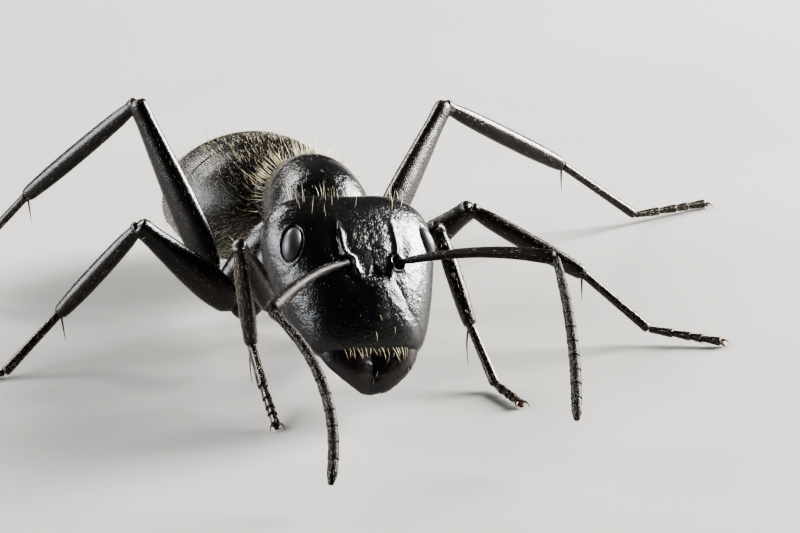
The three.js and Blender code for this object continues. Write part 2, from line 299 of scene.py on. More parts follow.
def read_rows(rows, at):
    """Reads a table whose first column says where each row holds."""
    rows = np.asarray(rows, float)
    return smooth_rows(rows[:, 1:], np.interp(at, rows[:, 0], np.arange(len(rows))))


def axis_of(start, end, up):
    """The line that a skin is rolled out round: its start, its way, an upward way, its length."""
    return start, (end - start).normalized(), up, (end - start).length


def show_piece(name, mesh, finish):
    mesh.shade_smooth()
    mesh.materials.append(finish.material)
    piece = add_object(name, mesh)
    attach(piece, "root")
    return piece


def make_piece(name, form, finish, replaces=(), axis=None):
    """Makes a bmesh in the ant's millimetres a piece. Hairs can grow on it if it has an axis."""
    bmesh.ops.recalc_face_normals(form, faces=form.faces)
    form.normal_update()
    if axis:
        form.verts.ensure_lookup_table()
        loops = form.calc_loop_triangles()
        skins[name] = dict(
            points=np.array([v.co for v in form.verts]),
            normals=np.array([v.normal for v in form.verts]),
            triangles=np.array([[loop.vert.index for loop in three] for three in loops]),
            axis=axis)
    form.transform(Matrix.Scale(MM, 4) @ Matrix.Translation(SHIFT))
    mesh = bpy.data.meshes.new(name)
    form.to_mesh(mesh)
    form.free()
    piece = show_piece(name, mesh, finish)
    if replaces:
        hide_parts(*replaces)


def cuticle(name, dark, warm, gloss, grain, relief, dent=0.0, shine=0.42, bloom=0.12):
    """Hard insect shell: nearly black, brown where thin, with a fine leathery sculpture. A dim,
    wide lobe under the sharp one gives the grey bloom beside each glint."""
    finish = Finish(name, IOR=1.56, Specular_IOR_Level=shine, Coat_Weight=bloom, Coat_Roughness=0.5)
    cloud = finish.noise(0.6, detail=3)
    net = finish.cells(grain, "DISTANCE_TO_EDGE")
    fine = finish.noise(grain * 0.9, detail=3, roughness=0.65)
    pits = finish.spread(finish.cells(grain * 3.3), 0.08, 0.3)
    dents = finish.noise(grain * 4.5, detail=2, roughness=0.6)
    height = finish.spread(net, 0.0, 0.22) * 0.6 + fine * 0.8 + pits * 0.35 + dents * dent
    finish.set(
        Base_Color=finish.mix(finish.spread(cloud, 0.35, 0.75), dark, warm),
        Roughness=finish.spread(cloud * 0.4 + fine * 0.6, 0.35, 0.7, gloss * 0.6, gloss * 1.6),
        Normal=finish.bump(height, relief))
    return finish


def face_relief(u, v):
    """How far the face's features stand out of its smooth shape."""
    side = np.abs(u)
    off = side - read_rows(CARINA, v)[:, 0]
    slope = np.where(off < 0, bell(off, 0, 0.08), bell(off, 0, 0.03))
    carina = CARINA_HEIGHT * (step(v, -0.55, -0.3) * (1 - step(v, 0.25, 0.95))) * slope
    fossa = -FOSSA_DEPTH * bell(off, 0.13, 0.12) * bell(v, -0.1, 0.36)
    pit_distance = np.hypot(side - SOCKET[0], v - SOCKET[1])
    pit = -PIT_DEPTH * (1 - step(pit_distance, 0.6 * SOCKET_RADIUS, SOCKET_RADIUS))
    pit += PIT_RIM * bell(pit_distance, SOCKET_RADIUS + 0.025, 0.028)
    edge = side - read_rows(CLYPEUS, v)[:, 0]
    clypeus = CLYPEUS_HEIGHT * (1 - step(edge, -0.3, 0.04)) * (1 - step(v, -0.66, -0.36))
    clypeus -= SIDE_SEAM * bell(edge, 0.02, 0.024) * (1 - step(v, -0.45, -0.36))
    clypeus -= TOP_SEAM * bell(v, -0.42, 0.024) * (1 - step(side, 0.2, 0.34))
    keel = KEEL_HEIGHT * bell(u, 0, 0.15) * step(v, -1.5, -1.2) * (1 - step(v, -0.7, -0.45))
    triangle = -TRIANGLE_DEPTH * (1 - step(side + (v + 0.4) * 0.55, 0.08, 0.13))
    triangle = triangle * step(v, -0.43, -0.39) * (1 - step(v, -0.25, -0.15))
    midline = -MIDLINE_DEPTH * bell(u, 0, 0.02) * step(v, -0.25, -0.15) * (1 - step(v, 0.5, 0.9))
    forehead = FOREHEAD_HEIGHT * bell(side, 0.3, 0.2) * bell(v, 0.05, 0.5)
    return carina + fossa + pit + clypeus + keel + triangle + midline + forehead


def head_surface(points):
    """Takes directions on a ball to the head: u across, v up the face, w out of the face."""
    x, y, z = points.T
    ring = np.hypot(x, z)
    corner = np.where(y < 0, JAW_POWER, OUTLINE_POWER)
    out = (np.abs(y) ** corner + ring ** corner) ** (-1 / corner)
    share, outline = out * y, out * ring
    blunt = np.where((y < 0) & (z > 0), BLUNT_POWER, PROFILE_POWER)
    profile = np.maximum(0, 1 - np.abs(share) ** blunt) ** (1 / blunt)
    across, forth = x / np.maximum(ring, 1e-9), z / np.maximum(ring, 1e-9)
    section = np.abs(across) ** SECTION_POWER + np.abs(forth) ** SECTION_POWER + 1e-12
    section **= -1 / SECTION_POWER
    end_share = np.where(share < 0, JAW_SHARE, CORNER_SHARE)
    width = HEAD_WIDTH * (MIDDLE_SHARE + (end_share - MIDDLE_SHARE) * np.abs(share))
    u = width * outline * across * section
    w = np.where(forth > 0, FACE_DEPTH, NAPE_DEPTH) * profile * forth * section
    v = HEAD_LENGTH * share
    v -= np.where(v > 0, HIND_DIP * bell(u, 0, HIND_DIP_WIDTH) * share, 0)
    v -= CHIN * step(-share, 0.5, 1.0) * step(w, -0.5, 0.3)
    w = w + step(w, 0.0, 0.25) * face_relief(u, v)
    w = w + GULA_HEIGHT * bell(u, 0, 0.025) * (1 - step(w, -0.7, -0.4))
    margin = MARGIN_HEIGHT * bell(v, -1.62, 0.07) * (1 - step(np.abs(u), 0.55, 0.8))
    w = w + margin * step(w, -0.1, 0.1)
    return np.stack([u, v, w], 1)


def eye_distance(points, side):
    """Points on the eye's own axes, and how far out each is, as a share of the eye's outline."""
    lean, outward = math.radians(EYE["lean"]), math.radians(EYE["outward"])
    turn = Matrix.Rotation(side * outward, 3, "Y") @ Matrix.Rotation(side * lean, 3, "Z")
    local = (points - np.array((side * EYE["u"], EYE["v"], EYE["w"]))) @ np.array(turn)
    return local, np.hypot(local[:, 0] / EYE["wide"], local[:, 1] / EYE["long"])


def with_orbits(points):
    """Presses a narrow groove with a low rim into the head round each eye."""
    for side in SIDES.values():
        local, share = eye_distance(points, side)
        near = np.where(points[:, 2] > -0.2, 1, 0) * (np.abs(local[:, 2]) < 0.5)
        push = ORBIT_RIM * bell(share, 1.2, 0.1) - ORBIT_GROOVE * (1 - step(share, 0.94, 1.07))
        out = points / np.linalg.norm(points, axis=1, keepdims=True)
        points = points + out * (push * near)[:, None]
    return points


shell_black = cuticle("shell_black", (0.003, 0.003, 0.0034), (0.007, 0.0062, 0.0058), 0.2, 0.036,
                      0.0027, dent=8.0)
head_form = bmesh.new()
bmesh.ops.create_icosphere(head_form, subdivisions=7, radius=1)
reshape(head_form.verts, lambda points: with_orbits(head_surface(points)))
head_form.transform(HEAD_TO_ANT)
make_piece("head_shell", head_form, shell_black, ["head"],
           axis=(HEAD_CENTRE - HEAD_TURN.col[1] * HEAD_LENGTH, HEAD_TURN.col[1], HEAD_TURN.col[2],
                 2 * HEAD_LENGTH))

# ---- eyes -----------------------------------------------------------------------------------
# Each eye is an oval lens of some hundreds of facets, dark grey and smooth to the naked eye. It
# sits in its orbit on the side of the head, its top leaning to the middle.

FACET = 0.021


def add_ball(form, around, along):
    """Adds a ball of rings to a bmesh and returns its vertices. The operator leaves the order of
    the faces to chance, and hairs are scattered by that order, so it is fixed here."""
    made = bmesh.ops.create_uvsphere(form, u_segments=around, v_segments=along, radius=1)
    form.verts.index_update()
    total = len(form.verts)
    form.faces.sort(key=lambda face: face.verts[0].index * total + face.verts[2].index)
    return made["verts"]


def eye_finish():
    finish = Finish("eye_facets", IOR=1.5)
    facets = finish.cells(FACET)
    cloud = finish.noise(0.15, detail=2)
    finish.set(
        Base_Color=finish.mix(cloud, (0.032, 0.0335, 0.037), (0.048, 0.05, 0.055)),
        Roughness=finish.spread(cloud, 0.3, 0.7, 0.36, 0.44),
        Normal=finish.bump(1 - finish.spread(facets, 0.0, 0.6), 0.0012))
    return finish


eye_grey = eye_finish()
for name, side in SIDES.items():
    lens_form = bmesh.new()
    add_ball(lens_form, 64, 48)
    bmesh.ops.scale(lens_form, vec=(EYE["wide"], EYE["long"], EYE["high"]), verts=lens_form.verts)
    lens_turn = (Matrix.Translation((side * EYE["u"], EYE["v"], EYE["w"]))
                 @ Matrix.Rotation(side * math.radians(EYE["outward"]), 4, "Y")
                 @ Matrix.Rotation(side * math.radians(EYE["lean"]), 4, "Z"))
    lens_form.transform(HEAD_TO_ANT @ lens_turn)
    make_piece(f"eye_lens_{name}", lens_form, eye_grey, [f"eye_{name}"])

# ---- mandibles ------------------------------------------------------------------------------
# Two stout jaws of dark red-brown horn, closed under the clypeus. Each has a rounded outer side
# and five teeth along its inner edge; the left one lies over the right.

# Up the jaw from its tip (0) to its hinge (1): the outer side's and the inner edge's distance
# from the middle, and the half-thickness.
JAW = [(0.0, 0.1, -0.03, 0.03), (0.02, 0.23, -0.05, 0.05), (0.05, 0.32, -0.06, 0.07),
       (0.12, 0.46, -0.08, 0.11), (0.22, 0.62, -0.09, 0.16), (0.4, 0.83, -0.07, 0.21),
       (0.58, 0.95, -0.03, 0.27), (0.78, 1.0, 0.05, 0.32), (1.0, 0.9, 0.2, 0.34)]
JAW_TIP, JAW_HINGE = -2.36, -1.12
# The teeth: how many, how long, and the share of the inner edge that they take.
TEETH, TOOTH, TOOTHED = 5, 0.028, 0.6
# The closed jaws' round front: how far it bulges, its half-width, middle and half-length.
BULGE, BULGE_WIDE, BULGE_MIDDLE, BULGE_LONG = 0.46, 1.15, -1.36, 1.06
# How far the jaws lie in front of the head's middle plane, less how far they are set back under
# its edge, and how far one lies over the other. EDGE_POWER thins them towards the inner edge.
JAW_OUT, JAW_IN, JAW_LAP = 0.1, 0.22, 0.03
EDGE_POWER = 0.25


def dome(share):
    return np.sqrt(np.clip(1 - share ** 2, 0, 1))


def jaw_surface(points, side):
    x, y, z = points.T
    along = 1 - np.arccos(np.clip(y, -1, 1)) / math.pi
    ring = np.hypot(x, z)
    across, forth = x / np.maximum(ring, 1e-9), z / np.maximum(ring, 1e-9)
    outer, inner, thick = read_rows(JAW, along).T
    saw = np.abs((along / TOOTHED * TEETH) % 1 - 0.5) * 2
    inner = inner - TOOTH * saw * (along < TOOTHED) * step(along, 0, 0.05)
    middle, half = (outer + inner) / 2, (outer - inner) / 2
    pole = ring < 1e-6
    u = np.where(pole, middle, middle + half * across)
    blade = np.clip((across + 1) / 2, 0, 1) ** EDGE_POWER
    w = thick * forth * blade
    v = JAW_TIP + (JAW_HINGE - JAW_TIP) * along
    bulge = BULGE * dome(u / BULGE_WIDE) * dome((v - BULGE_MIDDLE) / BULGE_LONG)
    w = np.where(pole, 0, w) + JAW_OUT + bulge - JAW_IN + JAW_LAP * side * (1 - step(u, 0.1, 0.4))
    return np.stack([side * u, v, w], 1)


def jaw_finish():
    finish = Finish("jaw_horn", IOR=1.56)
    cloud = finish.noise(0.5, detail=3)
    grain = finish.node(
        "ShaderNodeMapping", inputs={"Vector": finish.spot, "Scale": (1, 1, 0.25)})
    streak = finish.noise(0.05, detail=3, spot=grain)
    pits = finish.spread(finish.cells(0.11), 0.1, 0.22)
    finish.set(
        Base_Color=finish.mix(
            finish.spread(cloud, 0.35, 0.7), (0.003, 0.0022, 0.002), (0.009, 0.0036, 0.0026)),
        Roughness=finish.spread(streak, 0.3, 0.7, 0.2, 0.34),
        Normal=finish.bump(pits * 0.8 + streak * 0.4, 0.004))
    return finish


jaw_horn = jaw_finish()
for name, side in SIDES.items():
    jaw_form = bmesh.new()
    add_ball(jaw_form, 56, 96)
    bmesh.ops.rotate(jaw_form, cent=(0, 0, 0), verts=jaw_form.verts,
                     matrix=Matrix.Rotation(math.radians(-90), 3, "X"))
    reshape(jaw_form.verts, lambda points, side=side: jaw_surface(points, side))
    jaw_form.transform(HEAD_TO_ANT)
    make_piece(f"mandible_{name}_horn", jaw_form, jaw_horn, [f"mandible_{name}"],
               axis=(HEAD_TO_ANT @ Vector((side * 0.5, JAW_HINGE, 0.1)), -HEAD_TURN.col[1],
                     HEAD_TURN.col[2], 1.2))

# ---- antennae -------------------------------------------------------------------------------
# Each antenna has a long stiff scape on a ball joint, then a funiculus of eleven short joints,
# each a little wider at its far end. Short silvery down covers the funiculus.

SCAPE_RISE, SOCKET_OUT = 0.15, 0.9
ANTENNAE = dict(
    right=dict(elbow=(-2.27, -7.25, 2.99), tip=(-1.93, -9.69, 0.5), bow=(0.42, -0.03, 0.14)),
    left=dict(elbow=(3.2, -6.4, 3.0), tip=(2.63, -9.34, 0.95), bow=(0.1, -0.03, 0.05)))
# Along a scape: its half-width.
SCAPE = [(0, 0.05), (0.01, 0.085), (0.03, 0.085), (0.055, 0.05), (0.09, 0.064), (0.2, 0.08),
         (0.5, 0.095), (0.8, 0.118), (0.93, 0.132), (0.975, 0.12), (1, 0.07)]
# Along one joint of the funiculus: its half-width, as a share of its widest.
JOINT = [(0, 0.6), (0.03, 0.82), (0.1, 0.9), (0.3, 0.94), (0.6, 0.98), (0.9, 1.0), (0.97, 0.95),
         (1, 0.6)]
# The joints' lengths, as shares of a middle one. The last one narrows by END_TAPER.
FUNICLES = [1.25, 0.95, 1, 1, 1, 1, 0.97, 0.95, 0.93, 0.93, 1.35]
FIRST_WIDTH, LASH_WIDTH, LASH_GAIN, LASH_MOST = 0.078, 0.086, 0.004, 0.104
LASH_STEPS, JOINT_OVERLAP, END_TAPER = 32, 0.004, 0.55


def bent(start, control, end, steps=8):
    """Points along a simple curve from start to end that leans towards control."""
    return [start * (1 - t) ** 2 + control * 2 * t * (1 - t) + end * t * t
            for t in np.linspace(0, 1, steps + 1)]


def rod(form, path, sizes, around=24, along=40, up=(0, 0, 1), relief=None):
    """Adds a closed rod along a path. sizes has rows: the share along, the half-width and the
    half-height, or one number for both. relief swells it by place along and turn round."""
    verts = add_ball(form, around, along)
    path = np.array([tuple(point) for point in path])

    def wrap(points):
        turned = np.arctan2(points[:, 1], points[:, 0])
        on = np.arccos(np.clip(points[:, 2], -1, 1)) / math.pi
        pole = np.hypot(points[:, 0], points[:, 1]) < 1e-6
        last = len(path) - 1
        here = smooth_rows(path, on * last)
        ahead = (smooth_rows(path, np.clip(on + 0.002, 0, 1) * last)
                 - smooth_rows(path, np.clip(on - 0.002, 0, 1) * last))
        ahead /= np.linalg.norm(ahead, axis=1, keepdims=True)
        across = np.cross(ahead, np.array(up, float))
        across /= np.linalg.norm(across, axis=1, keepdims=True)
        rise = np.cross(across, ahead)
        half = read_rows(sizes, on)
        wide, high = half[:, 0], half[:, -1]
        swell = 1 if relief is None else relief(on, turned)
        wide, high = (np.where(pole, 0, size * swell) for size in (wide, high))
        return (here + across * (wide * np.cos(turned))[:, None]
                + rise * (high * np.sin(turned))[:, None])

    reshape(verts, wrap)
    return verts


feeler_brown = cuticle("feeler_brown", (0.006, 0.0055, 0.005), (0.02, 0.014, 0.011), 0.42, 0.03, 0.002,
                       shine=0.12, bloom=0.02)
for name, side in SIDES.items():
    spec = ANTENNAE[name]
    socket = HEAD_TO_ANT @ Vector((side * SOCKET[0], SOCKET[1], SOCKET_OUT))
    elbow, tip = Vector(spec["elbow"]), Vector(spec["tip"])
    lifted = (socket + elbow) / 2 + Vector((0, 0, 2 * SCAPE_RISE))
    scape_form = bmesh.new()
    rod(scape_form, bent(socket, lifted, elbow), SCAPE, around=28, along=80)
    make_piece(f"scape_{name}_shaft", scape_form, feeler_brown,
               [f"scape_{name}"], axis=axis_of(socket, elbow, (0, 0, 1)))
    middle = (elbow + tip) / 2 + Vector(spec["bow"]) * 2
    lash_path = np.array([tuple(p) for p in bent(elbow, middle, tip, LASH_STEPS)])
    ends = np.concatenate([[0], np.cumsum(FUNICLES)]) / sum(FUNICLES)
    lash_form = bmesh.new()
    for i, (start, stop) in enumerate(zip(ends, ends[1:])):
        width = min(LASH_MOST, LASH_WIDTH + LASH_GAIN * i) if i else FIRST_WIDTH
        tapers = i == len(FUNICLES) - 1
        part = smooth_rows(lash_path, np.linspace(start, stop + JOINT_OVERLAP, 5) * LASH_STEPS)
        shape = [(at, width * size * (1 - END_TAPER * max(0, at - 0.5) / 0.5 * tapers))
                 for at, size in JOINT]
        rod(lash_form, part, shape, around=24, along=26)
    make_piece(f"funiculus_{name}_joints", lash_form, feeler_brown,
               [f"funiculus_{name}"], axis=axis_of(elbow, tip, (0, -1, 0)))

# ---- mesosoma -------------------------------------------------------------------------------
# The middle of the body: pronotum, mesothorax and propodeum, three close-fitting shell plates
# under one even arch, with a soft neck in front.

# Its axis, half-height and half-width, from the collar to the rear.
MESOSOMA = [
    (0.02, -2.55, 2.56, 0.3, 0.34), (0.07, -2.1, 2.64, 0.5, 0.55), (0.11, -1.7, 2.68, 0.8, 0.84),
    (0.13, -1.2, 2.71, 0.99, 0.96), (0.17, -0.5, 2.66, 1.0, 0.9), (0.22, 0.3, 2.54, 0.93, 0.8),
    (0.26, 0.95, 2.4, 0.79, 0.7), (0.28, 1.4, 2.25, 0.6, 0.58), (0.28, 1.68, 2.1, 0.45, 0.45)]
# Each plate: where it starts and ends along the axis, in rows, and the lean of both edges.
PLATES = dict(
    pronotum=(0.0, 3.72, 0, -12), mesothorax=(3.62, 5.52, -12, 14), propodeum=(5.42, 8.0, 14, 0))
LEAN_HEIGHT, LEAN_REACH = 2.7, 0.8
PLATE_STEPS = 12
# How wide a plate is near its front end: the first one's collar, and the others' seams.
COLLAR_END = [(0, 0.3), (0.02, 0.75), (0.05, 0.93), (0.1, 1)]
SEAM_END = [(0, 0.8), (0.02, 0.95), (0.05, 1), (0.1, 1)]
# The breathing holes: their place along the last plate, and round its two flanks.
SPIRACLE_ALONG, SPIRACLE_ROUND = 0.42, (0.5, 2.64)


def plate_relief(name):
    """Seams, a flank groove, a back groove and the breathing holes, as swellings of the plate."""
    def relief(on, turned):
        swell = np.ones_like(on)
        swell -= 0.10 * (1 - step(on, 0, 0.05)) if name != "pronotum" else 0
        swell += 0.012 * bell(on, 0.94, 0.03) if name != "propodeum" else 0
        flank = np.abs(np.cos(turned))
        if name == "mesothorax":
            swell -= 0.045 * bell(on, 0.42 + 0.35 * np.sin(turned), 0.05) * step(flank, 0.55, 0.8)
            swell -= 0.02 * bell(on, 0.80, 0.035) * step(np.sin(turned), 0.3, 0.6)
        if name == "propodeum":
            hole = np.minimum(*(
                np.hypot((on - SPIRACLE_ALONG) * 2.0, (turned + math.pi) % math.pi - at)
                for at in SPIRACLE_ROUND))
            upper = step(np.sin(turned), 0, 0.2)
            swell += upper * (0.03 * bell(hole, 0.1, 0.03) - 0.05 * (1 - step(hole, 0.03, 0.09)))
            bulla = 0.05 * bell(np.sin(turned), -0.45, 0.2) * bell(on, 0.5, 0.2)
            swell += bulla * step(flank, 0.4, 0.7)
        return swell
    return relief


for name, (start, stop, lean_in, lean_out) in PLATES.items():
    rows = smooth_rows(MESOSOMA, np.linspace(start, stop, PLATE_STEPS + 1))
    front_end = COLLAR_END if name == "pronotum" else SEAM_END
    shares = np.concatenate([np.linspace(0, 0.1, 6), np.linspace(0.15, 0.9, 12),
                             np.linspace(0.93, 1, 6)])
    half = smooth_rows(rows[:, 3:], shares * PLATE_STEPS)
    open_in = read_rows(front_end, np.minimum(shares, 0.1))[:, 0]
    open_out = 1 - 0.1 * step(shares, 0.975, 1) if name != "propodeum" else np.sqrt(
        np.clip(1 - step(shares, 0.9, 1.0) ** 2 * 0.8, 0, 1))
    sizes = [(at, wide * a * b, high * a * b)
             for at, (high, wide), a, b in zip(shares, half, open_in, open_out)]
    plate_form = bmesh.new()
    verts = rod(plate_form, rows[:, :3], sizes, around=112, along=90, relief=plate_relief(name))
    first, last = rows[0, 1], rows[-1, 1]

    def lean_edges(points, first=first, last=last, lean_in=lean_in, lean_out=lean_out):
        tall = points[:, 2] - LEAN_HEIGHT
        near_in = 1 - step(points[:, 1], first, first + LEAN_REACH)
        near_out = step(points[:, 1], last - LEAN_REACH, last)
        points[:, 1] -= tall * (math.tan(math.radians(lean_in)) * near_in
                                + math.tan(math.radians(lean_out)) * near_out)
        return points

    reshape(verts, lean_edges)
    make_piece(f"{name}_plate", plate_form, shell_black, [name],
               axis=(Vector(rows[0, :3]), Vector((0, 1, 0)), (0, 0, 1), last - first))

neck_form = bmesh.new()
rod(neck_form, [(0.02, -3.3, 2.45), (0.02, -2.9, 2.5), (0.04, -2.4, 2.6)],
    [(0, 0.2), (0.1, 0.34), (0.5, 0.3), (0.9, 0.4), (1, 0.3)], around=40, along=30,
    relief=lambda on, turned: 1 + 0.03 * np.cos(on * 40))
make_piece("neck_collar", neck_form, shell_black)

# ---- petiole --------------------------------------------------------------------------------
# The waist: one upright scale with a sharpened top edge, on a short stalk.

SCALE_LEAN = math.radians(-8)
SCALE_MIDDLE, SCALE_BELOW, SCALE_ABOVE = Vector((0.24, 2.2, 2.1)), 0.62, 0.64
scale_axis = Vector((0, -math.sin(SCALE_LEAN), math.cos(SCALE_LEAN)))
scale_foot = SCALE_MIDDLE - scale_axis * SCALE_BELOW
petiole_form = bmesh.new()
rod(petiole_form, [scale_foot, SCALE_MIDDLE, SCALE_MIDDLE + scale_axis * SCALE_ABOVE],
    [(0, 0.1, 0.12), (0.04, 0.24, 0.19), (0.15, 0.4, 0.25), (0.4, 0.54, 0.25), (0.65, 0.56, 0.2),
     (0.85, 0.46, 0.12), (0.95, 0.3, 0.06), (1, 0.12, 0.03)],
    around=64, along=56, up=(0, 1, 0))
rod(petiole_form, [(0.27, 1.55, 1.92), (0.24, 2.2, 1.8), (0.2, 2.85, 1.66)],
    [(0, 0.2, 0.2), (0.1, 0.33, 0.27), (0.3, 0.28, 0.24), (0.5, 0.3, 0.26), (0.75, 0.24, 0.2),
     (0.92, 0.3, 0.25), (1, 0.18, 0.16)], around=48, along=48)
make_piece("petiole_scale", petiole_form, shell_black, ["petiole"],
           axis=(scale_foot, scale_axis, (0, -1, 0), SCALE_BELOW + SCALE_ABOVE))

# ---- gaster ---------------------------------------------------------------------------------
# The hind body: five shell rings that slide into each other like a telescope. Each has a back
# plate and a belly plate, and all but the last have a thin raised hind lip.

GASTER_CENTRE = Vector((0.02, 4.5, 1.53))
GASTER_LENGTH, GASTER_WIDTH, GASTER_HEIGHT, GASTER_TAPER = 1.92, 1.68, 1.23, 0.16
GASTER_TURN = Matrix.Rotation(math.radians(5), 3, "Z") @ Matrix.Rotation(math.radians(-6), 3, "X")
GASTER_AXIS = GASTER_TURN @ Vector((0, 1, 0))
GASTER_CUTS = [-1, -0.42, 0.06, 0.46, 0.78, 1]
# How far a ring slides under the one before it, and how far its hind lip stands out.
TUCK, LIP = 0.07, 0.012
BELLY, BELLY_STEP = -0.28, 0.02


def ring_relief(on, turned):
    """The back plate overlaps the belly plate low on each flank."""
    height = np.sin(turned)
    return 1 - BELLY_STEP * (1 - step(height, BELLY - 0.02, BELLY + 0.02))


gaster_black = cuticle(
    "gaster_black", (0.006, 0.0055, 0.005), (0.012, 0.0105, 0.008), 0.25, 0.038, 0.003)
for i, (start, stop) in enumerate(zip(GASTER_CUTS, GASTER_CUTS[1:])):
    tucked = start - (TUCK if i else 0)
    shares = np.linspace(0, 1, 40)
    reach = tucked + (stop - tucked) * shares
    plump = np.sqrt(np.clip(1 - reach ** 2, 0, 1)) * (1 - GASTER_TAPER * reach)
    inner = 1 if i == 0 else 0.955 + 0.045 * step(reach, start - 0.01, start + 0.06)
    lip = 1 + (LIP * step(shares, 0.75, 0.95) - 0.05 * step(shares, 0.985, 1) if i < 4 else 0)
    sizes = [(at, GASTER_WIDTH * s, GASTER_HEIGHT * s) for at, s in zip(shares, plump * inner * lip)]
    path = [GASTER_CENTRE + GASTER_AXIS * (GASTER_LENGTH * r) for r in np.linspace(tucked, stop, 4)]
    ring_form = bmesh.new()
    rod(ring_form, path, sizes, around=144, along=60, relief=ring_relief)
    make_piece(f"gaster_ring_{i + 1}", ring_form, gaster_black, [f"gaster_{i + 1}"],
               axis=(path[0], GASTER_AXIS, (0, 0, 1), (path[-1] - path[0]).length))

# ---- legs -----------------------------------------------------------------------------------
# Six legs, each of a coxa, a small trochanter, a flattened femur, a grooved tibia with a spur,
# and a foot of five joints with two claws and a pad.

LEGS = dict(
    fore=dict(mid_x=0.12, top=(0.48, -1.7, 2.15), hip=(1.0, -1.75, 1.05),
              lengths=(2.25, 1.9, 1.25, 1.1), thick=0.28),
    mid=dict(mid_x=0.2, top=(0.5, -0.05, 1.95), hip=(1.2, 0.1, 0.88),
             lengths=(2.85, 2.45, 1.6, 1.4), thick=0.33),
    hind=dict(mid_x=0.28, top=(0.45, 0.85, 1.9), hip=(1.25, 1.15, 0.9),
              lengths=(3.85, 3.2, 2.0, 1.65), thick=0.34))
# Each segment's turn forward of straight out and lift above the level, in degrees: femur,
# tibia, basitarsus, then the turn of the foot's last joints.
POSES = dict(
    fore_right=(49, 52, 144, -86, 86, -21, 88), fore_left=(56, 49, 66, -65, 77, -46, 82),
    mid_right=(5, 46, -29, -46, 25, -33, 5), mid_left=(48, 37, 25, -31, 26, -42, 34),
    hind_right=(-50, 63.5, -36, -39, -35, -45, -38), hind_left=(-43, 37, -17, -33, -9, -40, -16))
# Where a coxa swings its end out of the kind's usual place.
HIPS = dict(mid_right=(1.35, -0.25, 0.64), hind_right=(1.6, 1.2, 0.78))
TOE_HEIGHT = 0.1
# Along each segment: half-width and half-height. The femur's are shares of the leg's thickness.
COXA = [(0, 0.2, 0.24), (0.1, 0.3, 0.34), (0.3, 0.34, 0.38), (0.6, 0.28, 0.31), (0.85, 0.19, 0.2),
        (0.95, 0.15, 0.15), (1, 0.08, 0.08)]
TROCHANTER = [(0, 0.08, 0.08), (0.15, 0.13, 0.13), (0.5, 0.17, 0.16), (0.8, 0.14, 0.14),
              (1, 0.08, 0.08)]
FEMUR = [(0, 0.3, 0.3), (0.03, 0.42, 0.5), (0.12, 0.62, 0.84), (0.28, 0.7, 1.0), (0.45, 0.68, 0.95),
         (0.65, 0.58, 0.76), (0.82, 0.5, 0.6), (0.92, 0.5, 0.58), (0.965, 0.46, 0.52),
         (0.99, 0.34, 0.38), (1, 0.15, 0.18)]
TIBIA = [(0, 0.06, 0.08), (0.015, 0.105, 0.135), (0.05, 0.12, 0.15), (0.1, 0.108, 0.13),
         (0.22, 0.13, 0.16), (0.45, 0.148, 0.182), (0.68, 0.148, 0.18), (0.85, 0.132, 0.158),
         (0.95, 0.12, 0.14), (0.985, 0.1, 0.112), (1, 0.05, 0.055)]
BASITARSUS = [(0, 0.04, 0.04), (0.02, 0.085, 0.085), (0.08, 0.082, 0.082), (0.5, 0.088, 0.086),
              (0.92, 0.098, 0.094), (0.975, 0.088, 0.084), (1, 0.04, 0.04)]
TARSOMERE = [(0, 0.035, 0.035), (0.06, 0.06, 0.057), (0.3, 0.066, 0.062), (0.8, 0.086, 0.078),
             (0.94, 0.085, 0.078), (1, 0.04, 0.04)]
TOE_JOINTS = [0.34, 0.24, 0.17, 0.25]
PAD = [(0, 0.03, 0.02), (0.3, 0.045, 0.03), (0.8, 0.05, 0.028), (1, 0.02, 0.015)]
# A claw or spur along its length, as shares of its greatest half-width, up to its point.
SPIKE = [(0, 0.6), (0.06, 1), (0.5, 0.7), (0.85, 0.3)]
# Each spur's length, and how far it bows backwards.
SPURS = dict(fore=(0.9, 0.3), mid=(0.6, 0), hind=(0.6, 0))
TROCHANTER_LENGTH = 0.3
CLAW_POINT_HEIGHT, PAD_END_HEIGHT = 0.008, 0.035


def leg_joints(kind, side_name):
    """The middles of the leg's joints, from the thorax to the toe."""
    side, spec, pose = SIDES[side_name], LEGS[kind], POSES[f"{kind}_{side_name}"]
    hip = HIPS.get(f"{kind}_{side_name}", spec["hip"])
    joints = [Vector((spec["mid_x"] + side * at[0], at[1], at[2])) for at in (spec["top"], hip)]
    for i, length in enumerate(spec["lengths"]):
        turn = math.radians(pose[2 * i])
        if i < 3:
            lift = math.radians(pose[2 * i + 1])
        else:
            lift = math.asin(max(-1, min(1, (TOE_HEIGHT - joints[-1].z) / length)))
        flat = length * math.cos(lift)
        joints.append(joints[-1] + Vector((
            side * math.cos(turn) * flat, -math.sin(turn) * flat, math.sin(lift) * length)))
    for joint in joints:
        joint.z = max(joint.z, TOE_HEIGHT)
    return joints


def along_up(start, end):
    """An upward direction that never runs along the segment."""
    steep = abs((end - start).normalized().z) > 0.9
    return (0, 1, 0) if steep else (0, 0, 1)


def add_spike(form, path, base, tip=0.004, around=10, along=12, flat=1, up=(0, 0, 1)):
    sizes = [(at, base * share, base * share * flat) for at, share in SPIKE]
    rod(form, path, [*sizes, (1, tip, tip)], around, along, up)


def shin_groove(on, turned):
    return 1 - 0.05 * bell(np.sin(turned), 0.95, 0.3) * bell(on, 0.55, 0.35)


def add_spur(form, kind, ankle, shin):
    """The spur at the end of the tibia. The fore leg's is bowed, to clean the feelers."""
    length, bow = SPURS[kind]
    down = Vector((0, 0, -1)) + shin * 0.35
    down = (down - shin * down.dot(shin) * 0.45).normalized()
    start = ankle - shin * 0.05
    middle = start + down * length * 0.5 + Vector((0, bow, 0))
    add_spike(form, bent(start, middle, start + down * length * 0.95), 0.03, along=20, flat=0.7,
              up=(1, 0, 0))


